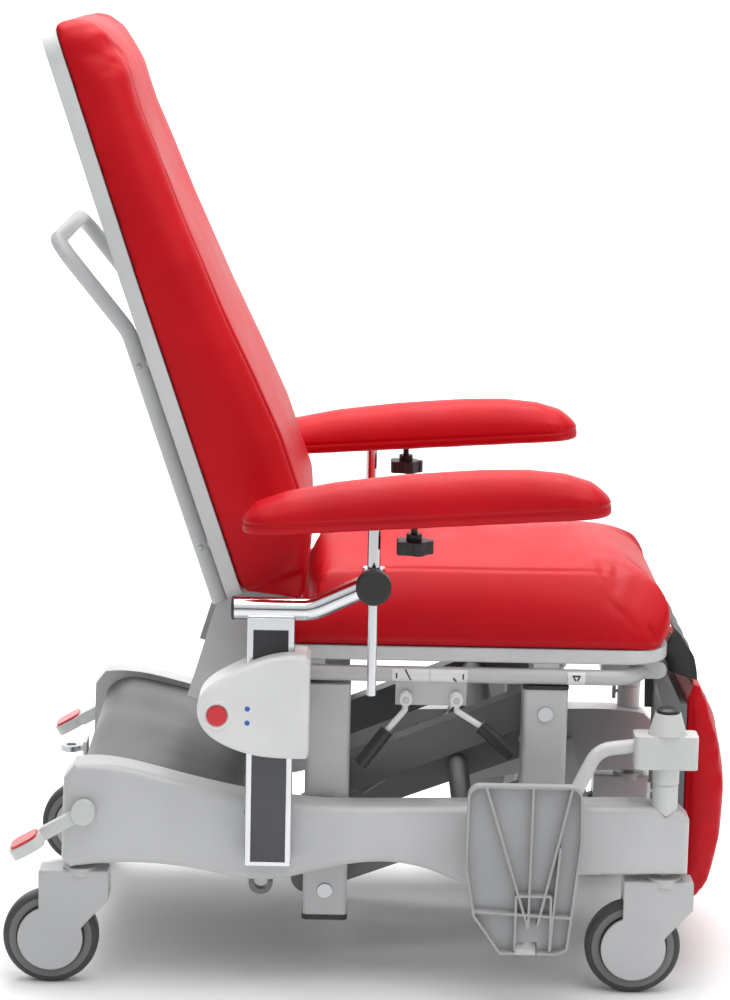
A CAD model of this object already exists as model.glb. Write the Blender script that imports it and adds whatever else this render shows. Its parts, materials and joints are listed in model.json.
"""Patient recliner chair: finishes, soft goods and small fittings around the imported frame."""
import json
import math

import bmesh
import bpy
import numpy as np
from mathutils import Matrix, Vector
from mathutils.bvhtree import BVHTree
from mathutils.kdtree import KDTree


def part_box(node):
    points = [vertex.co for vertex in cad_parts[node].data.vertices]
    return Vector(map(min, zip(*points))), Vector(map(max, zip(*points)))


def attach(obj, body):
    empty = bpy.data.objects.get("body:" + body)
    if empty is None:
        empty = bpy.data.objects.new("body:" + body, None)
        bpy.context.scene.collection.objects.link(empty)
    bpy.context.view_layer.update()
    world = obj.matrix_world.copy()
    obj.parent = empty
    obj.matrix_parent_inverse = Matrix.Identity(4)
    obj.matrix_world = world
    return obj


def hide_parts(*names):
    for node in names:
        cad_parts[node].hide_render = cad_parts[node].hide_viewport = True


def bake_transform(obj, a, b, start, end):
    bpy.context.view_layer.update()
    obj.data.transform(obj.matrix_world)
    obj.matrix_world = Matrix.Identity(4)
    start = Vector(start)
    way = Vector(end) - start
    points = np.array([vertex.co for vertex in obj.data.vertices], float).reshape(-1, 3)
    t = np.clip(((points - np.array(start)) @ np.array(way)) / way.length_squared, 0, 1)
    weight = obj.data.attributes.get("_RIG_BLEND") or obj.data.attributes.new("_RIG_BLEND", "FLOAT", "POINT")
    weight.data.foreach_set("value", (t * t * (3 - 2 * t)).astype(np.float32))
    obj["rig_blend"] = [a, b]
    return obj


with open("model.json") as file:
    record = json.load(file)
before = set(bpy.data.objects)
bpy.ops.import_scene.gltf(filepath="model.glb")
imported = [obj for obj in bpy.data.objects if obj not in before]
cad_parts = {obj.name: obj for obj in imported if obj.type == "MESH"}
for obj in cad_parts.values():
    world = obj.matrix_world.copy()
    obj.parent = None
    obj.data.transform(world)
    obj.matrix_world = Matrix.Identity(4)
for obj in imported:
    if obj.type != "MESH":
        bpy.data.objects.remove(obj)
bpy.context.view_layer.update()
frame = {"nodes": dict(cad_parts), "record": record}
MM = 0.001
SIDES = {"right": -1, "left": 1}

# ---------------- node helpers ----------------


def add(tree, kind, inputs=None, **settings):
    """A node with its settings; its inputs are values, or sockets to link from."""
    made = tree.nodes.new(kind)
    for key, value in settings.items():
        setattr(made, key, value)
    for key, value in (inputs or {}).items():
        if isinstance(value, bpy.types.NodeSocket):
            tree.links.new(value, made.inputs[key])
        else:
            made.inputs[key].default_value = value
    return made


def maths(tree, operation, first, second=0.0, clamp=False):
    return add(tree, "ShaderNodeMath", {0: first, 1: second}, operation=operation, use_clamp=clamp).outputs[0]


def spread(tree, value, low, high, out_low=0.0, out_high=1.0):
    """Value between low and high, spread out to a new range."""
    return add(tree, "ShaderNodeMapRange", {"Value": value, "From Min": low, "From Max": high,
                                            "To Min": out_low, "To Max": out_high}).outputs[0]


def blend_colour(tree, share, first, second):
    made = add(tree, "ShaderNodeMix", {0: share, 6: first, 7: second}, data_type="RGBA")
    return made.outputs[2]


def effect(name, inputs, outputs):
    """An empty shader group with float inputs and the outputs named."""
    tree = bpy.data.node_groups.new(name, "ShaderNodeTree")
    for label, value in inputs.items():
        tree.interface.new_socket(label, in_out="INPUT", socket_type="NodeSocketFloat").default_value = value
    for label, kind in outputs.items():
        tree.interface.new_socket(label, in_out="OUTPUT", socket_type=kind)
    return tree, tree.nodes.new("NodeGroupInput"), tree.nodes.new("NodeGroupOutput")


def make_moulded_grain():
    """Fine speckled skin of paint or moulded plastic, with a broad change of tone."""
    tree, given, result = effect("moulded grain", {"Size": 0.6, "Patches": 6.0},
                                 {"Height": "NodeSocketFloat", "Tone": "NodeSocketFloat"})
    place = add(tree, "ShaderNodeTexCoord").outputs["Object"]
    scale = maths(tree, "DIVIDE", 1000.0, given.outputs["Size"])
    fine = add(tree, "ShaderNodeTexNoise", {"Vector": place, "Scale": scale, "Detail": 2.0})
    broad = add(tree, "ShaderNodeTexNoise", {"Vector": place, "Scale": given.outputs["Patches"], "Detail": 4.0})
    tree.links.new(fine.outputs["Fac"], result.inputs["Height"])
    tree.links.new(broad.outputs["Fac"], result.inputs["Tone"])
    return tree


def make_leather_grain():
    """Small pebbles with creases between them, and a slow change of tone."""
    tree, given, result = effect("leather grain", {"Pebble": 1.3, "Patches": 7.0},
                                 {"Height": "NodeSocketFloat", "Tone": "NodeSocketFloat"})
    place = add(tree, "ShaderNodeTexCoord").outputs["Object"]
    scale = maths(tree, "DIVIDE", 1000.0, given.outputs["Pebble"])
    pebbles = add(tree, "ShaderNodeTexVoronoi", {"Vector": place, "Scale": scale}, feature="DISTANCE_TO_EDGE")
    rounded = spread(tree, pebbles.outputs["Distance"], 0.0, 0.25)
    fibre = add(tree, "ShaderNodeTexNoise", {"Vector": place, "Scale": scale, "Detail": 3.0})
    height = maths(tree, "ADD", rounded, maths(tree, "MULTIPLY", fibre.outputs["Fac"], 0.5))
    broad = add(tree, "ShaderNodeTexNoise", {"Vector": place, "Scale": given.outputs["Patches"], "Detail": 5.0})
    tree.links.new(height, result.inputs["Height"])
    tree.links.new(broad.outputs["Fac"], result.inputs["Tone"])
    return tree


def make_edge_wear():
    """Rounded edge shading, and a broken mask of where edges are rubbed."""
    tree, given, result = effect("edge wear", {"Radius": 0.001, "Breakup": 60.0},
                                 {"Mask": "NodeSocketFloat", "Normal": "NodeSocketVector"})
    rounded = add(tree, "ShaderNodeBevel", {"Radius": given.outputs["Radius"]}, samples=4)
    surface = add(tree, "ShaderNodeNewGeometry")
    match = add(tree, "ShaderNodeVectorMath", {0: rounded.outputs[0], 1: surface.outputs["Normal"]},
                operation="DOT_PRODUCT")
    edge = spread(tree, match.outputs["Value"], 0.995, 0.9)
    place = add(tree, "ShaderNodeTexCoord").outputs["Object"]
    broken = add(tree, "ShaderNodeTexNoise", {"Vector": place, "Scale": given.outputs["Breakup"], "Detail": 3.0})
    mask = maths(tree, "MULTIPLY", edge, spread(tree, broken.outputs["Fac"], 0.52, 0.68))
    tree.links.new(mask, result.inputs["Mask"])
    tree.links.new(rounded.outputs[0], result.inputs["Normal"])
    return tree


def make_settled_dust():
    """Thin dust on faces that look up, thickest low down on the chair."""
    tree, given, result = effect("settled dust", {"Amount": 0.3}, {"Mask": "NodeSocketFloat"})
    surface = add(tree, "ShaderNodeNewGeometry")
    facing = add(tree, "ShaderNodeSeparateXYZ", {0: surface.outputs["Normal"]}).outputs["Z"]
    place = add(tree, "ShaderNodeTexCoord").outputs["Object"]
    height = add(tree, "ShaderNodeSeparateXYZ", {0: place}).outputs["Z"]
    low = spread(tree, height, 0.7, 0.1, 0.25, 1.0)
    cloud = add(tree, "ShaderNodeTexNoise", {"Vector": place, "Scale": 22.0, "Detail": 6.0})
    up = spread(tree, facing, 0.3, 1.0)
    mask = maths(tree, "MULTIPLY", maths(tree, "MULTIPLY", up, low), spread(tree, cloud.outputs["Fac"], 0.4, 0.75))
    mask = maths(tree, "MULTIPLY", mask, given.outputs["Amount"], clamp=True)
    tree.links.new(mask, result.inputs["Mask"])
    return tree


MOULDED, LEATHER, WEAR, DUST = make_moulded_grain(), make_leather_grain(), make_edge_wear(), make_settled_dust()


def use(tree, group, **inputs):
    made = tree.nodes.new("ShaderNodeGroup")
    made.node_tree = group
    for key, value in inputs.items():
        made.inputs[key].default_value = value
    return made


def rgba(colour):
    return (*colour, 1.0)


def shade(colour, factor):
    return rgba([min(1.0, part * factor) for part in colour])


def hard_finish(name, colour, rough, metal=0.0, grain=0.6, depth=0.02, wear=0.0, worn=(0.5, 0.5, 0.5),
                dust=0.25, coat=0.0, radius=0.001, specular=0.5, tone=0.06):
    """Paint, plating or plastic: a fine skin, rounded and rubbed edges, and a little dust."""
    material = bpy.data.materials.new(name)
    material.use_nodes = True
    tree = material.node_tree
    skin = tree.nodes["Principled BSDF"]
    grained = use(tree, MOULDED, Size=grain)
    edges = use(tree, WEAR, Radius=radius)
    settled = use(tree, DUST, Amount=dust)
    toned = blend_colour(tree, spread(tree, grained.outputs["Tone"], 0.35, 0.65),
                         shade(colour, 1 - tone), shade(colour, 1 + tone))
    rubbed = blend_colour(tree, maths(tree, "MULTIPLY", edges.outputs["Mask"], wear), toned, rgba(worn))
    dusty = blend_colour(tree, settled.outputs["Mask"], rubbed, (0.36, 0.35, 0.33, 1.0))
    roughness = maths(tree, "ADD", spread(tree, grained.outputs["Tone"], 0.3, 0.7, rough * 0.85, rough * 1.15),
                      maths(tree, "MULTIPLY", settled.outputs["Mask"], 0.3), clamp=True)
    bump = add(tree, "ShaderNodeBump", {"Height": grained.outputs["Height"], "Normal": edges.outputs["Normal"],
                                        "Strength": 0.5, "Distance": depth * MM})
    tree.links.new(dusty, skin.inputs["Base Color"])
    tree.links.new(roughness, skin.inputs["Roughness"])
    tree.links.new(bump.outputs[0], skin.inputs["Normal"])
    skin.inputs["Metallic"].default_value = metal
    skin.inputs["Coat Weight"].default_value = coat
    skin.inputs["Coat Roughness"].default_value = 0.12
    skin.inputs["Specular IOR Level"].default_value = specular
    return material


def vinyl_finish(name, colour, rough, pebble=1.3, depth=0.12, sheen=0.0, tone=0.08):
    """Coated upholstery fabric: pebbled skin, soft gloss, and paler where it is handled."""
    material = bpy.data.materials.new(name)
    material.use_nodes = True
    tree = material.node_tree
    skin = tree.nodes["Principled BSDF"]
    grained = use(tree, LEATHER, Pebble=pebble)
    toned = blend_colour(tree, spread(tree, grained.outputs["Tone"], 0.35, 0.65),
                         shade(colour, 1 - tone), shade(colour, 1 + tone))
    creased = blend_colour(tree, spread(tree, grained.outputs["Height"], 0.5, 0.15), toned, shade(colour, 0.82))
    roughness = spread(tree, grained.outputs["Tone"], 0.3, 0.7, rough * 0.88, rough * 1.12)
    bump = add(tree, "ShaderNodeBump", {"Height": grained.outputs["Height"], "Strength": 0.35, "Distance": depth * MM})
    tree.links.new(creased, skin.inputs["Base Color"])
    tree.links.new(roughness, skin.inputs["Roughness"])
    tree.links.new(bump.outputs[0], skin.inputs["Normal"])
    skin.inputs["Sheen Weight"].default_value = sheen
    skin.inputs["Sheen Roughness"].default_value = 0.4
    skin.inputs["Specular IOR Level"].default_value = 0.2
    return material


FINISHES = {
    "painted_grey": hard_finish("painted_grey", (0.52, 0.525, 0.53), 0.4, wear=0.25, worn=(0.42, 0.43, 0.44),
                                coat=0.15, radius=0.0018),
    "arm_grey": hard_finish("arm_grey", (0.16, 0.163, 0.167), 0.42, wear=0.35, worn=(0.4, 0.4, 0.4), radius=0.0012),
    "cover_grey": hard_finish("cover_grey", (0.036, 0.036, 0.038), 0.36, grain=1.2, depth=0.02, dust=0.04),
    "moulded_white": hard_finish("moulded_white", (0.72, 0.725, 0.72), 0.32, coat=0.15, radius=0.0025, dust=0.1),
    "shell_grey": hard_finish("shell_grey", (0.58, 0.59, 0.585), 0.38, grain=0.9, depth=0.03, radius=0.003),
    "caster_plastic": hard_finish("caster_plastic", (0.5, 0.505, 0.51), 0.38, wear=0.2, worn=(0.4, 0.4, 0.4),
                                  radius=0.003),
    "hub_plastic": hard_finish("hub_plastic", (0.5, 0.505, 0.51), 0.4, radius=0.0015),
    "tyre_grey": hard_finish("tyre_grey", (0.05, 0.051, 0.055), 0.6, grain=1.4, depth=0.06, dust=0.7, radius=0.002),
    "chrome": hard_finish("chrome", (0.66, 0.67, 0.68), 0.1, metal=1.0, depth=0.002, dust=0.1, tone=0.02),
    "steel": hard_finish("steel", (0.52, 0.53, 0.54), 0.3, metal=1.0, depth=0.01, wear=0.3, worn=(0.8, 0.8, 0.8)),
    "black_plastic": hard_finish("black_plastic", (0.018, 0.018, 0.019), 0.42, grain=0.9, depth=0.04, radius=0.0015),
    "red_plastic": hard_finish("red_plastic", (0.6, 0.008, 0.016), 0.3, coat=0.3, radius=0.0012, dust=0.05),
    "blue_paint": hard_finish("blue_paint", (0.02, 0.12, 0.5), 0.35, dust=0.0),
    "label_face": hard_finish("label_face", (0.78, 0.79, 0.79), 0.35, grain=0.4, depth=0.004, dust=0.05),
    "dark_strip": hard_finish("dark_strip", (0.075, 0.076, 0.08), 0.3, metal=0.5, depth=0.01, dust=0.0),
    "tyre_side": hard_finish("tyre_side", (0.17, 0.172, 0.176), 0.55, grain=1.0, depth=0.04, dust=0.4),
    "footplate_grey": hard_finish("footplate_grey", (0.36, 0.365, 0.37), 0.42, wear=0.2, worn=(0.5, 0.5, 0.5),
                                  radius=0.0012),
    "vinyl_red": vinyl_finish("vinyl_red", (0.5, 0.001, 0.007), 0.46),
    "vinyl_red_dark": vinyl_finish("vinyl_red_dark", (0.36, 0.003, 0.009), 0.5, pebble=0.6),
    "vinyl_charcoal": vinyl_finish("vinyl_charcoal", (0.035, 0.035, 0.037), 0.42, pebble=1.0),
}

# ---------------- mesh helpers ----------------


def new_piece(name, mesh, finish):
    mesh.name = name
    piece = bpy.data.objects.new(name, mesh)
    bpy.context.scene.collection.objects.link(piece)
    mesh.materials.clear()
    mesh.materials.append(FINISHES[finish])
    return piece


def settle(piece):
    """Applies the piece's modifiers, leaving a plain mesh."""
    graph = bpy.context.evaluated_depsgraph_get()
    mesh = bpy.data.meshes.new_from_object(piece.evaluated_get(graph), preserve_all_data_layers=True, depsgraph=graph)
    piece.modifiers.clear()
    piece.data = mesh
    return piece


def place(piece, body, slot_name, *stands_for):
    """Rides the piece on its body, names its finish, and hides the CAD nodes that it stands for."""
    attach(piece, body)
    if stands_for:
        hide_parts(*stands_for)
    return piece


def merged(node):
    """Welded copy of a CAD node's mesh, with flat faces joined up."""
    mesh = frame["nodes"][node].data.copy()
    work = bmesh.new()
    work.from_mesh(mesh)
    bmesh.ops.remove_doubles(work, verts=work.verts, dist=0.00002)
    bmesh.ops.dissolve_limit(work, angle_limit=math.radians(0.8), verts=work.verts, edges=work.edges)
    work.to_mesh(mesh)
    work.free()
    return mesh


def smooth_shading(mesh, angle=33):
    work = bmesh.new()
    work.from_mesh(mesh)
    for edge in work.edges:
        edge.smooth = len(edge.link_faces) == 2 and edge.calc_face_angle(math.pi) < math.radians(angle)
    for face in work.faces:
        face.smooth = True
    work.to_mesh(mesh)
    work.free()


def paint(piece, finish, chosen):
    """Gives the faces whose middle is chosen a second finish."""
    piece.data.materials.append(FINISHES[finish])
    index = len(piece.data.materials) - 1
    for face in piece.data.polygons:
        if chosen(face.center, face.normal):
            face.material_index = index


NODE_BODY = {node: body for body, members in frame["record"]["behaviour"]["bodies"].items() for node in members}
NODE_FINISH = {sub["node"]: sub["material_slot"] for sub in frame["record"]["subparts"]}


def finished(node, angle=33):
    """A CAD node's shape, welded and smoothly shaded, with its own finish."""
    mesh = merged(node)
    for name in [a.name for a in mesh.attributes if a.name == "custom_normal"]:
        mesh.attributes.remove(mesh.attributes[name])
    smooth_shading(mesh, angle)
    piece = new_piece(node + "_finished", mesh, NODE_FINISH[node])
    piece.modifiers.new("even shading", "WEIGHTED_NORMAL").keep_sharp = True
    settle(piece)
    return place(piece, NODE_BODY[node], SLOT_FOR.get(NODE_FINISH[node], NODE_FINISH[node]), node)


NODE_FINISH.update({"footplate_right": "footplate_grey", "footplate_left": "footplate_grey"})
SLOT_FOR = {"footplate_grey": "shell_grey"}
SOFT = ["seat_cushion", "back_cushion", "leg_cushion", "knee_guard", "armrest_pad_right", "armrest_pad_left"]
hard = {node: finished(node) for node in NODE_FINISH if node not in SOFT}

# ---------------- camera, lights and floor ----------------
camera = bpy.data.objects.new("camera", bpy.data.cameras.new("camera"))
camera.data.lens = 109.8
camera.data.sensor_width = 36
camera.matrix_world = (Matrix.Translation((-0.0495, -4.907, 1.622)) @ Matrix.Rotation(math.radians(-0.45), 4, "Z")
                       @ Matrix.Rotation(math.radians(79.6), 4, "X") @ Matrix.Rotation(math.radians(1.23), 4, "Z"))
bpy.context.scene.collection.objects.link(camera)
bpy.context.scene.camera = camera
bpy.context.scene.view_settings.view_transform = "Standard"


def soft_light(name, size, power, place_at, aim_at):
    lamp = bpy.data.lights.new(name, "AREA")
    lamp.size, lamp.energy = size, power
    light = bpy.data.objects.new(name, lamp)
    light.location = place_at
    light.rotation_euler = (Vector(aim_at) - Vector(place_at)).to_track_quat("-Z", "Y").to_euler()
    bpy.context.scene.collection.objects.link(light)


soft_light("overhead softbox", 3.4, 98, (0.2, -0.3, 3.6), (0, 0, 0.6))
soft_light("front softbox", 2.0, 14, (2.8, -2.2, 2.4), (0, 0, 0.7))
soft_light("camera side softbox", 2.6, 9, (-1.2, -4.2, 2.6), (0, 0, 0.6))
soft_light("backdrop light", 3.0, 170, (0, 2.0, 4.6), (0, 4.0, 1.0))
sky = bpy.data.worlds.new("studio")
sky.use_nodes = True
towards = add(sky.node_tree, "ShaderNodeTexCoord").outputs["Generated"]
height = add(sky.node_tree, "ShaderNodeSeparateXYZ", {0: towards}).outputs["Z"]
glow = spread(sky.node_tree, height, 0.2, 0.7, 0.12, 0.8)
sky.node_tree.links.new(glow, sky.node_tree.nodes["Background"].inputs["Strength"])
sky.node_tree.nodes["Background"].inputs["Color"].default_value = (0.97, 0.98, 1.0, 1.0)
bpy.context.scene.world = sky

floor_mesh = bpy.data.meshes.new("studio_floor")
reach, wall_y, sweep = 9.0, 4.0, 1.6
rows = [(-reach, 0.0)] + [(wall_y - sweep + sweep * math.sin(t), sweep - sweep * math.cos(t))
                          for t in np.linspace(0, math.pi / 2, 17)] + [(wall_y, 6.0)]
corners = [(x, y, z) for y, z in rows for x in (-reach, reach)]
floor_mesh.from_pydata(corners, [], [(2 * i, 2 * i + 1, 2 * i + 3, 2 * i + 2) for i in range(len(rows) - 1)])
for face in floor_mesh.polygons:
    face.use_smooth = True
FINISHES["studio_paper"] = hard_finish("studio_paper", (0.92, 0.92, 0.92), 0.7, grain=3.0, depth=0.01, dust=0.0,
                                       tone=0.01)
studio_floor = new_piece("studio_floor", floor_mesh, "studio_paper")

# ---------------- soft goods ----------------


def points_of(piece):
    points = np.empty(len(piece.data.vertices) * 3)
    piece.data.vertices.foreach_get("co", points)
    return points.reshape(-1, 3)


def move_to(piece, points):
    piece.data.vertices.foreach_set("co", np.ascontiguousarray(points, np.float32).ravel())
    piece.data.update()


def near(line, points):
    """Distance of each point from a line of closely spaced points, and the line's share there."""
    finder = KDTree(len(line))
    for index, spot in enumerate(line):
        finder.insert(spot, index)
    finder.balance()
    found = [finder.find(point) for point in points]
    return np.array([hit[2] for hit in found]), np.array([hit[1] for hit in found]) / (len(line) - 1)


def dense(corners, step=0.002):
    """Points every step along a run of corners."""
    corners = np.array(corners, float)
    lengths = np.r_[0, np.cumsum(np.linalg.norm(np.diff(corners, axis=0), axis=1))]
    along = np.linspace(0, lengths[-1], max(2, int(lengths[-1] / step)))
    return np.stack([np.interp(along, lengths, corners[:, axis]) for axis in range(3)], axis=1)


def on_skin(piece, line):
    """The line's points moved to the nearest place on the piece's skin."""
    skin = BVHTree.FromObject(piece, bpy.context.evaluated_depsgraph_get())
    return np.array([skin.find_nearest(Vector(spot))[0] for spot in line])


def softened(piece, rounds):
    soften = piece.modifiers.new("soft corners", "SMOOTH")
    soften.factor, soften.iterations = 0.5, rounds
    return settle(piece)


def soft_start(node, name, finish, voxel=0.0065, smoothing=5):
    """The cushion's block with an even skin and softened corners."""
    piece = new_piece(name, merged(node), finish)
    skin = piece.modifiers.new("even skin", "REMESH")
    skin.mode, skin.voxel_size = "VOXEL", voxel
    return softened(piece, smoothing)


def inflate(piece, held, most, pressure=4.0, frames=20):
    """Swells the cover under pressure, held along its seams, by at most the distance given."""
    grip = piece.vertex_groups.new(name="held")
    for index in np.flatnonzero(held > 0.01):
        grip.add([int(index)], float(held[index]), "REPLACE")
    start = points_of(piece)
    cloth = piece.modifiers.new("cover", "CLOTH")
    cloth.settings.vertex_group_mass = "held"
    cloth.settings.use_pressure = True
    cloth.settings.uniform_pressure_force = pressure
    cloth.settings.effector_weights.gravity = 0.0
    cloth.settings.quality = 4
    cloth.collision_settings.use_collision = False
    cloth.point_cache.frame_start, cloth.point_cache.frame_end = 1, frames
    for step in range(1, frames + 1):
        bpy.context.scene.frame_set(step)
    swollen = piece.evaluated_get(bpy.context.evaluated_depsgraph_get())
    moved = np.empty(len(start) * 3)
    swollen.data.vertices.foreach_get("co", moved)
    moved = moved.reshape(-1, 3) - start
    furthest = np.linalg.norm(moved, axis=1).max()
    print("swelled", piece.name, round(furthest * 1000, 1), "mm")
    piece.modifiers.clear()
    piece.vertex_groups.clear()
    move_to(piece, start + moved * min(1.0, most / furthest))
    bpy.context.scene.frame_set(1)


def finer(piece):
    step = piece.modifiers.new("finer skin", "SUBSURF")
    step.levels = step.render_levels = 1
    settle(piece)
    for face in piece.data.polygons:
        face.use_smooth = True
    return piece


def carve(piece, line, depth, width, fade=0.0):
    """Pulls the skin in along a seam; fade is the share of the line over which each end dies away."""
    points = points_of(piece)
    distance, share = near(line, points)
    normals = np.array([vertex.normal for vertex in piece.data.vertices])
    pull = depth * np.exp(-(distance / width) ** 2)
    if fade:
        pull *= np.clip(np.minimum(share, 1 - share) / fade, 0, 1)
    move_to(piece, points - normals * pull[:, None])


def smoothstep(value):
    value = np.clip(value, 0, 1)
    return value * value * (3 - 2 * value)


# backrest: up is along the shell's rear face, forward is square to it
LEAN = math.radians(19.06)
BACK_FOOT = (-0.2235, 0.609)
SHELL_SKIN = 0.024
FRONT_UP = np.array([-42, 43, 82, 214, 319, 440, 583, 752, 819, 887, 911, 919, 921]) * MM
FRONT_OUT = np.array([114, 152, 163, 162, 151, 136, 123, 112, 112, 98, 82, 66, 45]) * MM
SEAM_UP = np.array([-40, 100, 400, 560, 700, 820]) * MM
SEAM_OUT = np.array([222, 228, 226, 214, 194, 178]) * MM
SEAM_HEAD = 0.84          # the seams die out below the smooth round top
BACK_ROLL = 0.052


def back_place(side, up, forward):
    return (BACK_FOOT[0] - up * math.sin(LEAN) + forward * math.cos(LEAN), side,
            BACK_FOOT[1] + up * math.cos(LEAN) + forward * math.sin(LEAN))


def back_measure(points):
    dx, dz = points[:, 0] - BACK_FOOT[0], points[:, 2] - BACK_FOOT[1]
    return -dx * math.sin(LEAN) + dz * math.cos(LEAN), dx * math.cos(LEAN) + dz * math.sin(LEAN)


def round_off(first, second, first_edge, second_edge, radius):
    """Turns the square corner where two coordinates reach their edges into a round one."""
    a = np.clip((first - (first_edge - radius)) / radius, 0, 1)
    b = np.clip((second - (second_edge - radius)) / radius, 0, 1)
    corner = (a > 0) & (b > 0)
    rounded_first = first_edge - radius + radius * a * np.sqrt(1 - b * b / 2)
    rounded_second = second_edge - radius + radius * b * np.sqrt(1 - a * a / 2)
    return np.where(corner, rounded_first, first), np.where(corner, rounded_second, second)


def back_seam(way, inset=1.0):
    """The seam up one side of the front panel."""
    return dense([back_place(way * inset * np.interp(up, SEAM_UP, SEAM_OUT), up,
                             np.interp(up, FRONT_UP, FRONT_OUT) - 0.012)
                  for up in np.linspace(-0.03, SEAM_HEAD, 45)])


def make_back_cushion():
    piece = soft_start("back_cushion", "back_cushion_cover", "vinyl_red", 0.007)
    points = points_of(piece)
    up, forward = back_measure(points)
    side = points[:, 1]
    front = np.interp(up, FRONT_UP, FRONT_OUT)
    share = np.clip((forward - SHELL_SKIN) / (front - SHELL_SKIN), 0, 1)
    shell_half = np.interp(up, [0.52, 0.86], [0.267, 0.233])
    across, forward = round_off(np.abs(side), forward, shell_half, front, BACK_ROLL)
    side = np.sign(side) * across
    forward = forward - 0.004 * share
    hollow = np.exp(-((up - 0.72) / 0.11) ** 2) * np.clip(1 - (side / 0.19) ** 2, 0, 1)
    forward = forward - 0.009 * share * hollow
    points = np.stack(back_place(side, up, forward), axis=1)
    move_to(piece, points)
    seams = [on_skin(piece, back_seam(way)) for way in (-1, 1)]
    held = np.clip((0.04 - forward) / 0.012, 0, 1)
    for seam in seams:
        distance, share = near(seam, points)
        held = np.maximum(held, np.clip(1.5 - distance / 0.006, 0, 1) * np.clip((1 - share) / 0.2, 0, 1))
    inflate(piece, held, most=0.014)
    finer(piece)
    for seam in seams:
        carve(piece, on_skin(piece, seam), 0.0045, 0.0045, fade=0.15)
    return piece


SEAT_RISE = np.array([0, 0.15, 0.4, 0.7, 0.88, 1.0])
SEAT_HALF = np.array([268, 269, 257, 230, 214, 204]) * MM


def make_seat_cushion():
    piece = soft_start("seat_cushion", "seat_cushion_cover", "vinyl_red", 0.0065)
    low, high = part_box("seat_cushion")
    points = points_of(piece)
    rise = np.clip((points[:, 2] - low.z) / (high.z - low.z), 0, 1)
    side = np.abs(points[:, 1]) * np.interp(rise, SEAT_RISE, SEAT_HALF) / high.y
    rounded_x, side = round_off(points[:, 0], side, high.x, side.max(), 0.05)
    nose = smoothstep((points[:, 0] - (high.x - 0.13)) / 0.13)
    points[:, 2] -= rise * (0.01 * nose + 0.006)
    points[:, 0], points[:, 1] = rounded_x, np.sign(points[:, 1]) * side
    move_to(piece, points)
    piece = softened(piece, 12)
    points = points_of(piece)
    creases = []
    for way in (-1, 1):
        run = dense([(x, way * (0.203 + 0.004 * t), high.z) for t, x in
                     zip(np.linspace(0, 1, 20), np.linspace(low.x + 0.03, high.x - 0.07, 20))])
        creases.append(on_skin(piece, run))
    held = np.clip((low.z + 0.016 - points[:, 2]) / 0.008, 0, 1)
    for crease in creases:
        distance, share = near(crease, points)
        held = np.maximum(held, np.clip(1.4 - distance / 0.006, 0, 1) * np.clip((0.95 - share) / 0.3, 0, 1))
    rear = np.clip((low.x + 0.02 - points[:, 0]) / 0.01, 0, 1)
    inflate(piece, np.maximum(held, rear), most=0.016)
    finer(piece)
    for crease in creases:
        carve(piece, on_skin(piece, crease), 0.004, 0.005, fade=0.22)
    for way in (-1, 1):
        dart = dense([(high.x - 0.022, way * (high.y - 0.004), low.z + 0.012),
                      (high.x - 0.04, way * (high.y - 0.002), low.z + 0.05)])
        carve(piece, on_skin(piece, dart), 0.003, 0.003, fade=0.4)
    hem = dense([(low.x + 0.02, -high.y, low.z + 0.008), (high.x - 0.03, -high.y, low.z + 0.008),
                 (high.x - 0.004, -high.y + 0.03, low.z + 0.008), (high.x - 0.004, high.y - 0.03, low.z + 0.008),
                 (high.x - 0.03, high.y, low.z + 0.008), (low.x + 0.02, high.y, low.z + 0.008)])
    carve(piece, on_skin(piece, hem), 0.0025, 0.003)
    return piece


# side, drop below the top and tilt of the folds under the knee
LEG_FOLDS = ((-1, 0.035, 0.02), (-1, 0.06, -0.012), (1, 0.045, 0.015), (1, 0.075, -0.02), (-1, 0.1, 0.01))


def make_leg_cushion():
    piece = soft_start("leg_cushion", "leg_cushion_cover", "vinyl_red", 0.006)
    low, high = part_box("leg_cushion")
    points = points_of(piece)
    out = np.clip((points[:, 0] - low.x) / (high.x - low.x), 0, 1)
    edge = np.clip(np.abs(points[:, 1]) / high.y, 0, 1)
    points[:, 0] += out * 0.003 * edge ** 4
    points[:, 1] *= 1 - 0.01 * out
    move_to(piece, points)
    held = np.clip((low.x + 0.012 - points[:, 0]) / 0.006, 0, 1)
    inflate(piece, held, most=0.012)
    finer(piece)
    for way, drop, tilt in LEG_FOLDS:
        fold = dense([(high.x, way * 0.2, high.z - drop), (high.x, way * 0.11, high.z - drop - tilt),
                      (high.x, way * 0.04, high.z - drop - tilt * 0.4)])
        carve(piece, on_skin(piece, fold), 0.003, 0.007, fade=0.5)
    hem = dense([(low.x + 0.006, way * high.y, z) for way, z in ((-1, high.z - 0.02), (-1, low.z + 0.09))])
    for way in (-1, 1):
        carve(piece, on_skin(piece, hem * np.array([1, -way, 1])), 0.002, 0.003)
    return piece


cushions = {
    "back_cushion": (make_back_cushion(), "back"),
    "seat_cushion": (make_seat_cushion(), "seat"),
    "leg_cushion": (make_leg_cushion(), "leg_rest"),
}
for node, (piece, body) in cushions.items():
    place(piece, body, "vinyl_red", node)

# arm pads: thickest ahead of the middle, falling to a blunt nose and a thin tail
PAD_ALONG = np.array([0, 0.04, 0.12, 0.26, 0.45, 0.66, 0.78, 0.88, 0.95, 1.0])
PAD_HEIGHT = np.array([0.36, 0.62, 0.8, 0.95, 1.04, 1.06, 1.02, 0.9, 0.7, 0.4])
PAD_TILT = math.radians(3.96)
PAD_SEAM = 0.017


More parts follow.
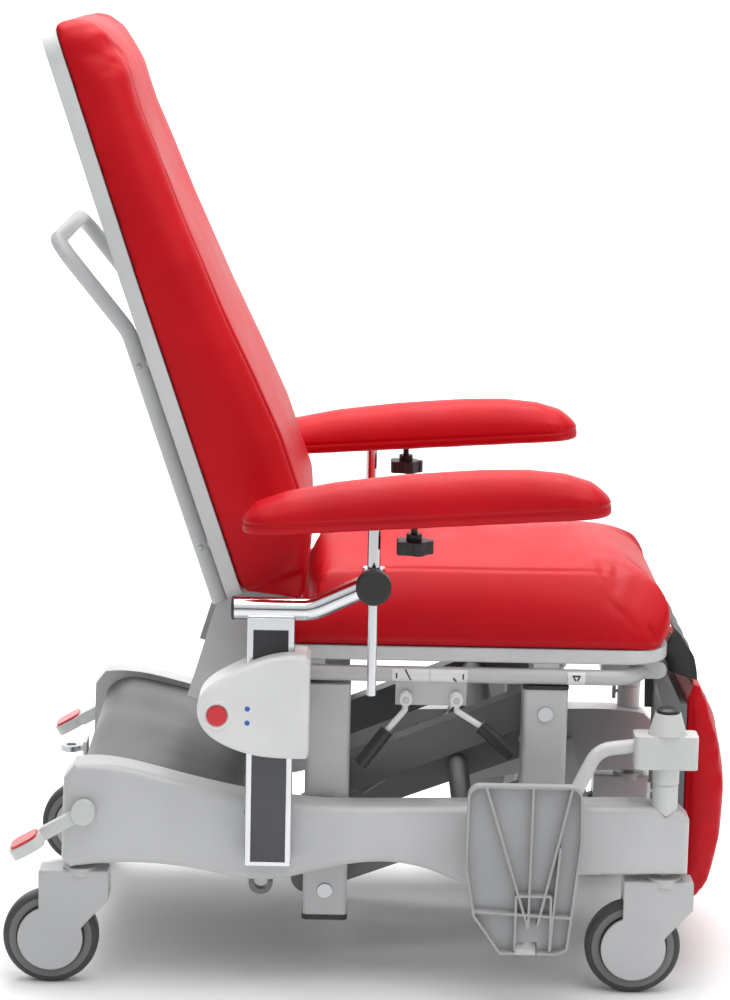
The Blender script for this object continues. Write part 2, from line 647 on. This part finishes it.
def make_arm_pad(side):
    node = f"armrest_pad_{side}"
    piece = soft_start(node, f"{node}_cover", "vinyl_red", 0.005, smoothing=3)
    low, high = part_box(node)
    middle = Vector(((low.x + high.x) / 2, (low.y + high.y) / 2, (low.z + high.z) / 2))
    points = points_of(piece) - np.array(middle)
    along = points[:, 0] * math.cos(PAD_TILT) + points[:, 2] * math.sin(PAD_TILT)
    above = -points[:, 0] * math.sin(PAD_TILT) + points[:, 2] * math.cos(PAD_TILT)
    base, length, depth = above.min(), np.ptp(along), np.ptp(above)
    share = (along - along.min()) / length
    rise = (above - base) / depth
    across = points[:, 1] / (high.y - middle.y)
    lift = np.interp(share, PAD_ALONG, PAD_HEIGHT) * (1 - 0.3 * np.abs(across) ** 2.6 * rise)
    above = base + rise * depth * lift
    inward = 1 - 0.1 * smoothstep((rise - 0.35) / 0.65) - 0.1 * smoothstep((0.16 - share) / 0.16)
    points = np.stack([along * math.cos(PAD_TILT) - above * math.sin(PAD_TILT), points[:, 1] * inward,
                       along * math.sin(PAD_TILT) + above * math.cos(PAD_TILT)], axis=1) + np.array(middle)
    move_to(piece, points)
    held = np.clip((base + 0.01 - above) / 0.006, 0, 1)
    inflate(piece, held, most=0.005)
    finer(piece)
    ring = []
    half = high.y - middle.y
    for turn in np.linspace(0, 2 * math.pi, 73):
        x = (length / 2 - half) * np.sign(math.cos(turn)) + half * math.cos(turn)
        y = half * math.sin(turn)
        z = base + PAD_SEAM
        ring.append(np.array([x * math.cos(PAD_TILT) - z * math.sin(PAD_TILT), y,
                              x * math.sin(PAD_TILT) + z * math.cos(PAD_TILT)]) + np.array(middle))
    seam = on_skin(piece, dense(ring))
    carve(piece, seam, 0.002, 0.0022)
    for reach, lean in ((0.018, 0.008), (0.034, -0.006), (0.055, 0.004)):
        for way in (-1, 1):
            start = Vector((high.x - reach, middle.y + way * half, middle.z + base + PAD_SEAM + 0.017))
            pleat = dense([start, start + Vector((lean, 0, 0.016))], 0.001)
            carve(piece, on_skin(piece, pleat), 0.0015, 0.002, fade=0.5)
    place(piece, NODE_BODY[node], "vinyl_red", node)
    return seam


pad_seams = {side: make_arm_pad(side) for side in SIDES}


# ---------------- knee gusset ----------------
KNEE = Vector((0.455, 0, 0.499))
GUSSET_ANGLES = np.radians(np.linspace(68, -17, 22))
GUSSET_HALF = 0.204


def make_knee_gusset():
    """Taut coated fabric from under the seat's front to the leg rest's top, with webs at its ends."""
    radii = 0.0675 - 0.009 * np.sin(np.linspace(0, math.pi, len(GUSSET_ANGLES)))
    across = np.linspace(-GUSSET_HALF, GUSSET_HALF, 52)
    columns = [(-GUSSET_HALF, 0.3), (-GUSSET_HALF, 0.65)] + [(y, 1.0) for y in across] + \
              [(GUSSET_HALF, 0.65), (GUSSET_HALF, 0.3)]
    corners = []
    for row, (angle, radius) in enumerate(zip(GUSSET_ANGLES, radii)):
        tension = math.sin(math.pi * row / (len(radii) - 1))
        for y, share in columns:
            fold = 0.0012 * tension * (math.sin(y * 47 + row * 0.32) + 0.6 * math.sin(y * 118 - row * 0.5))
            reach = (radius + (fold if share == 1.0 else 0)) * share
            corners.append((KNEE.x + reach * math.cos(angle), y, KNEE.z + reach * math.sin(angle)))
    wide = len(columns)
    faces = [(r * wide + c, r * wide + c + 1, (r + 1) * wide + c + 1, (r + 1) * wide + c)
             for r in range(len(radii) - 1) for c in range(wide - 1)]
    mesh = bpy.data.meshes.new("knee_gusset")
    mesh.from_pydata(corners, [], faces)
    piece = new_piece("knee_gusset", mesh, "vinyl_charcoal")
    thick = piece.modifiers.new("cloth thickness", "SOLIDIFY")
    thick.thickness, thick.offset = 0.0016, 0
    settle(piece)
    for face in piece.data.polygons:
        face.use_smooth = True
    return piece


gusset = make_knee_gusset()
first, last = GUSSET_ANGLES[2], GUSSET_ANGLES[-3]
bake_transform(gusset, "seat", "leg_rest",
         start=(KNEE.x + 0.06 * math.cos(first), 0, KNEE.z + 0.06 * math.sin(first)),
         end=(KNEE.x + 0.06 * math.cos(last), 0, KNEE.z + 0.06 * math.sin(last)))
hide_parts("knee_guard")

# ---------------- trims and small fittings ----------------
BOSS_X, BOSS_Y, BOSS_TOP = 0.4635, 0.32, 0.4555     # top of the boss that a footrest swings on
MARK_REACH = 0.046                                   # from the release button to the painted marks


def slab_mesh(name, low, high, finish, rounding=0.0008):
    """A thin plate between two corners, with rounded edges."""
    work = bmesh.new()
    bmesh.ops.create_cube(work, size=1.0)
    for vert in work.verts:
        vert.co = Vector([(low[i] + high[i]) / 2 + vert.co[i] * (high[i] - low[i]) for i in range(3)])
    bmesh.ops.bevel(work, geom=work.edges[:], offset=rounding, segments=2, affect="EDGES", profile=0.5)
    mesh = bpy.data.meshes.new(name)
    work.to_mesh(mesh)
    work.free()
    smooth_shading(mesh)
    return new_piece(name, mesh, finish)


def turned_piece(name, profile, centre, axis, finish, steps=48):
    """A round piece; the profile is (radius, distance along the axis) from the first end to the last."""
    work = bmesh.new()
    turn = Vector((0, 0, 1)).rotation_difference(Vector(axis)).to_matrix()
    rings = []
    for radius, along in profile:
        count = steps if radius > 0 else 1
        rings.append([work.verts.new(Vector(centre) + turn @ Vector((radius * math.cos(2 * math.pi * i / steps),
                                                                      radius * math.sin(2 * math.pi * i / steps),
                                                                      along))) for i in range(count)])
    for lower, upper in zip(rings, rings[1:]):
        for i in range(steps):
            j = (i + 1) % steps
            corners = [lower[i % len(lower)], lower[j % len(lower)], upper[j % len(upper)], upper[i % len(upper)]]
            work.faces.new(list(dict.fromkeys(corners)))
    bmesh.ops.recalc_face_normals(work, faces=work.faces[:])
    mesh = bpy.data.meshes.new(name)
    work.to_mesh(mesh)
    work.free()
    smooth_shading(mesh, 40)
    return new_piece(name, mesh, finish)


def joined(name, pieces):
    """Several pieces as one, each keeping its own finish."""
    work, finishes = bmesh.new(), []
    for part in pieces:
        offset = len(work.faces)
        work.from_mesh(part.data)
        material = part.data.materials[0]
        if material not in finishes:
            finishes.append(material)
        work.faces.ensure_lookup_table()
        for face in work.faces[offset:]:
            face.material_index = finishes.index(material)
        mesh = part.data
        bpy.data.objects.remove(part)
        bpy.data.meshes.remove(mesh)
    mesh = bpy.data.meshes.new(name)
    work.to_mesh(mesh)
    work.free()
    piece = bpy.data.objects.new(name, mesh)
    bpy.context.scene.collection.objects.link(piece)
    for material in finishes:
        mesh.materials.append(material)
    return piece


COLUMN_X, COLUMN_Y, COLUMN_RECESS = -0.1525, 0.362, 0.0015
TUBE_END = Vector((-0.2105, 0, 0.6165))
for side, way in SIDES.items():
    # dark face of the plated column, and the end cap of its tube
    low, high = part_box(f"armrest_column_{side}")
    guide_low, guide_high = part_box(f"armrest_guide_{side}")
    face_y = way * (COLUMN_Y + 0.018 - COLUMN_RECESS)
    strip = slab_mesh(f"column_strip_{side}", (COLUMN_X - 0.0266, min(face_y, face_y + way * 0.0009), low.z + 0.0065),
                      (COLUMN_X + 0.0266, max(face_y, face_y + way * 0.0009), 0.5865), "dark_strip", 0.0003)
    place(strip, f"armrest_{side}", "black_plastic")
    cap = turned_piece(f"tube_end_cap_{side}", [(0, 0.0035), (0.016, 0.0035), (0.0182, 0.0015), (0.0182, -0.001),
                                                (0, -0.001)],
                       (TUBE_END.x, way * COLUMN_Y, TUBE_END.z), (-1, 0, 0), "black_plastic")
    place(cap, f"armrest_{side}", "black_plastic")
    # ring round the button, and two small height marks
    button_low, button_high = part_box(f"release_button_{side}")
    centre = ((button_low.x + button_high.x) / 2, way * max(abs(guide_low.y), abs(guide_high.y)),
              (button_low.z + button_high.z) / 2)
    ring = turned_piece(f"button_ring_{side}", [(0.0155, -0.006), (0.0155, 0.0005), (0.017, 0.002), (0.020, 0.002),
                                                (0.0225, 0.0), (0.0235, -0.006)], centre, (0, way, 0), "moulded_white")
    place(ring, "seat", "moulded_white")
    marks = []
    for lift in (0.011, -0.011):
        tip = (centre[0] + MARK_REACH, centre[1] + way * 0.0002, centre[2] + lift)
        marks.append(turned_piece("mark", [(0, 0.0003), (0.004, 0.0003), (0.004, -0.002)], tip, (0, way, 0),
                                  "blue_paint", 16))
    place(joined(f"height_marks_{side}", marks), "seat", "moulded_white")
    # black cap on the footrest's swing boss
    boss = turned_piece(f"footrest_boss_cap_{side}", [(0.0, 0.007), (0.014, 0.0065), (0.0175, 0.004), (0.0185, 0.0),
                                                      (0.0185, -0.003), (0, -0.003)],
                        (BOSS_X, way * BOSS_Y, BOSS_TOP), (0, 0, 1), "black_plastic")
    place(boss, "base", "black_plastic")

# tyre side walls and the groove inside them, as radius and distance out of the side
WALL_PROFILE = [(0.0525, -0.004), (0.0535, 0.0007), (0.058, 0.0016), (0.0645, 0.0012), (0.067, -0.003)]
GROOVE_PROFILE = [(0.0505, -0.003), (0.0505, 0.0004), (0.0528, 0.0004), (0.0528, -0.003)]
SIDE_RINGS = (("wall", WALL_PROFILE, "tyre_side"), ("groove", GROOVE_PROFILE, "black_plastic"))
for end in ("rear", "front"):
    for side, way in SIDES.items():
        low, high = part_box(f"caster_tyre_{end}_{side}")
        middle = (low + high) / 2
        half = (high.y - low.y) / 2
        walls = []
        for face in (-1, 1):
            seat_at = (middle.x, middle.y + face * (half - 0.0005), middle.z)
            for label, profile, finish in SIDE_RINGS:
                walls.append(turned_piece(label, profile, seat_at, (0, face, 0), finish))
        place(joined(f"tyre_side_walls_{end}_{side}", walls), f"wheel_{end}_{side}", "tyre_grey")

# pale lever rods with black grips
for lever, grip_top in (("back_lever", 0.413), ("leg_lever", 0.4225)):
    rod = hard[lever]
    rod.data.materials.clear()
    rod.data.materials.append(FINISHES["moulded_white"])
    paint(rod, "black_plastic", lambda centre, normal: centre.z < grip_top)

# plates on the near seat tube that show what the levers do
TUBE_Y, TUBE_Z, TUBE_RADIUS = -0.265, 0.495, 0.0125
PLATE_WRAP = 0.85         # half the angle that a plate covers


def tube_plate(name, x_low, x_high, strokes):
    """A thin plate wrapped round the outer side of the seat tube, with plain raised strokes on it."""
    angles = np.linspace(-PLATE_WRAP, PLATE_WRAP, 13)
    radius = TUBE_RADIUS + 0.0006
    corners = [(x, TUBE_Y - radius * math.cos(t), TUBE_Z + radius * math.sin(t))
               for t in angles for x in (x_low, x_high)]
    mesh = bpy.data.meshes.new(name)
    mesh.from_pydata(corners, [], [(2 * i, 2 * i + 1, 2 * i + 3, 2 * i + 2) for i in range(len(angles) - 1)])
    plate = new_piece("plate", mesh, "label_face")
    thick = plate.modifiers.new("plate thickness", "SOLIDIFY")
    thick.thickness, thick.offset = 0.0005, 0
    pieces = [settle(plate)]
    for x, z, length, angle in strokes:
        work = bmesh.new()
        bmesh.ops.create_cube(work, size=1.0)
        bmesh.ops.subdivide_edges(work, edges=work.edges[:], cuts=4, use_grid_fill=True)
        turn = Matrix.Rotation(-angle, 3, "Y")
        for vert in work.verts:
            spot = turn @ Vector((vert.co.x * length, 0, vert.co.z * 0.0022))
            lift = math.asin(max(-0.9, min(0.9, (z + spot.z) / TUBE_RADIUS)))
            out = TUBE_RADIUS + 0.0006 + (0.0007 if vert.co.y < 0 else -0.0006)
            vert.co = Vector((x + spot.x, TUBE_Y - out * math.cos(lift), TUBE_Z + out * math.sin(lift)))
        bmesh.ops.recalc_face_normals(work, faces=work.faces[:])
        mesh = bpy.data.meshes.new("stroke")
        work.to_mesh(mesh)
        work.free()
        pieces.append(new_piece("stroke", mesh, "black_plastic"))
    return place(joined(name, pieces), "seat", "moulded_white")


tube_plate("lever_plate_rear", 0.035, 0.0935, [(0.042, 0, 0.008, math.pi / 2), (0.060, 0.001, 0.018, 2.1)])
tube_plate("lever_plate_front", 0.0945, 0.153, [(0.146, 0, 0.008, math.pi / 2), (0.133, -0.005, 0.008, 2.3)])
tube_plate("tube_mark_plate", 0.309, 0.337, [(0.3195, 0.001, 0.009, 2.1), (0.3265, 0.001, 0.009, 1.05),
                                             (0.323, 0.004, 0.009, 0.0)])

# ---------------- repeated fittings ----------------


def geometry_tree(name, inputs):
    """An empty geometry group with the sockets named."""
    tree = bpy.data.node_groups.new(name, "GeometryNodeTree")
    tree.interface.new_socket("Geometry", in_out="INPUT", socket_type="NodeSocketGeometry")
    for label, kind in inputs.items():
        tree.interface.new_socket(label, in_out="INPUT", socket_type=kind)
    tree.interface.new_socket("Geometry", in_out="OUTPUT", socket_type="NodeSocketGeometry")
    return tree, tree.nodes.new("NodeGroupInput"), tree.nodes.new("NodeGroupOutput")


def finish_tree(tree, given, result, instances, finish_label):
    real = add(tree, "GeometryNodeRealizeInstances", {0: instances})
    coloured = add(tree, "GeometryNodeSetMaterial", {"Geometry": real.outputs[0],
                                                     "Material": given.outputs[finish_label]})
    tree.links.new(coloured.outputs[0], result.inputs[0])
    return tree


def make_stitch_row():
    tree, given, result = geometry_tree("stitch row", {"Pitch": "NodeSocketFloat", "Stitch Length": "NodeSocketFloat",
                                                       "Thread Radius": "NodeSocketFloat",
                                                       "Thread": "NodeSocketMaterial"})
    path = add(tree, "GeometryNodeMeshToCurve", {"Mesh": given.outputs["Geometry"]})
    spots = add(tree, "GeometryNodeCurveToPoints", {"Curve": path.outputs[0], "Length": given.outputs["Pitch"]},
                mode="LENGTH")
    stitch = add(tree, "GeometryNodeMeshCylinder", {"Vertices": 6, "Radius": given.outputs["Thread Radius"],
                                                    "Depth": given.outputs["Stitch Length"]})
    row = add(tree, "GeometryNodeInstanceOnPoints", {"Points": spots.outputs["Points"],
                                                     "Instance": stitch.outputs["Mesh"],
                                                     "Rotation": spots.outputs["Rotation"]})
    return finish_tree(tree, given, result, row.outputs[0], "Thread")


def make_screw_set():
    tree, given, result = geometry_tree("screw set", {"Head Radius": "NodeSocketFloat",
                                                      "Head Height": "NodeSocketFloat",
                                                      "Plating": "NodeSocketMaterial"})
    top = maths(tree, "MULTIPLY", given.outputs["Head Radius"], 0.72)
    head = add(tree, "GeometryNodeMeshCone", {"Vertices": 24, "Radius Top": top,
                                              "Radius Bottom": given.outputs["Head Radius"],
                                              "Depth": given.outputs["Head Height"]})
    socket = add(tree, "GeometryNodeMeshCylinder", {
        "Vertices": 6, "Radius": maths(tree, "MULTIPLY", given.outputs["Head Radius"], 0.4),
        "Depth": maths(tree, "MULTIPLY", given.outputs["Head Height"], 2.3)})
    both = add(tree, "GeometryNodeJoinGeometry")
    tree.links.new(head.outputs["Mesh"], both.inputs[0])
    tree.links.new(socket.outputs["Mesh"], both.inputs[0])
    facing = add(tree, "GeometryNodeInputNamedAttribute", {"Name": "facing"}, data_type="FLOAT_VECTOR")
    turned = add(tree, "FunctionNodeAlignRotationToVector", {"Vector": facing.outputs["Attribute"]}, axis="Z")
    heads = add(tree, "GeometryNodeInstanceOnPoints", {"Points": given.outputs["Geometry"],
                                                       "Instance": both.outputs[0],
                                                       "Rotation": turned.outputs[0]})
    return finish_tree(tree, given, result, heads.outputs[0], "Plating")


STITCH_ROW, SCREW_SET = make_stitch_row(), make_screw_set()


def grown(name, corners, edges, tree, settings, body, slot_name, facing=None):
    """Grows a repeated fitting over points or a line, as a plain mesh that rides on a body."""
    mesh = bpy.data.meshes.new(name)
    mesh.from_pydata([tuple(corner) for corner in corners], edges, [])
    if facing is not None:
        attribute = mesh.attributes.new("facing", "FLOAT_VECTOR", "POINT")
        attribute.data.foreach_set("vector", np.array(facing, np.float32).ravel())
    piece = bpy.data.objects.new(name, mesh)
    bpy.context.scene.collection.objects.link(piece)
    grow = piece.modifiers.new("grow", "NODES")
    grow.node_group = tree
    sockets = {item.name: item.identifier for item in tree.interface.items_tree if item.in_out == "INPUT"}
    for label, value in settings.items():
        grow[sockets[label]] = value
    settle(piece)
    return place(piece, body, slot_name)


THREAD = {"Pitch": 0.0062, "Stitch Length": 0.0044, "Thread Radius": 0.00042, "Thread": FINISHES["vinyl_red_dark"]}


def stitch(name, line, body):
    """A row of stitches along a line on a cover."""
    grown(name, line, [(i, i + 1) for i in range(len(line) - 1)], STITCH_ROW, THREAD, body, "vinyl_red")


for side, way in SIDES.items():
    stitch(f"back_seam_stitches_{side}", on_skin(cushions["back_cushion"][0], back_seam(way, 0.975)), "back")
for side, seam in pad_seams.items():
    row = seam - np.array([0, 0, 0.0035])
    stitch(f"pad_seam_stitches_{side}", on_skin(bpy.data.objects[f"armrest_pad_{side}_cover"], row), f"pad_{side}")

PLATED = {"Head Radius": 0.0042, "Head Height": 0.0022, "Plating": FINISHES["steel"]}
DARK = {"Head Radius": 0.0028, "Head Height": 0.0014, "Plating": FINISHES["black_plastic"]}
HANDLE_Y, HANDLE_OUT = 0.22 + 0.0125, -0.0175
grown("handle_screws", [back_place(way * HANDLE_Y, up, HANDLE_OUT) for way in (-1, 1) for up in (0.085, 0.385)], [],
      SCREW_SET, PLATED, "back", "steel", [(0, way, 0) for way in (-1, 1) for _ in range(2)])
for side, way in SIDES.items():
    grown(f"column_screws_{side}", [(COLUMN_X - 0.036, way * COLUMN_Y, z) for z in (0.36, 0.295)], [], SCREW_SET, DARK,
          f"armrest_{side}", "steel", [(-1, 0, 0)] * 2)
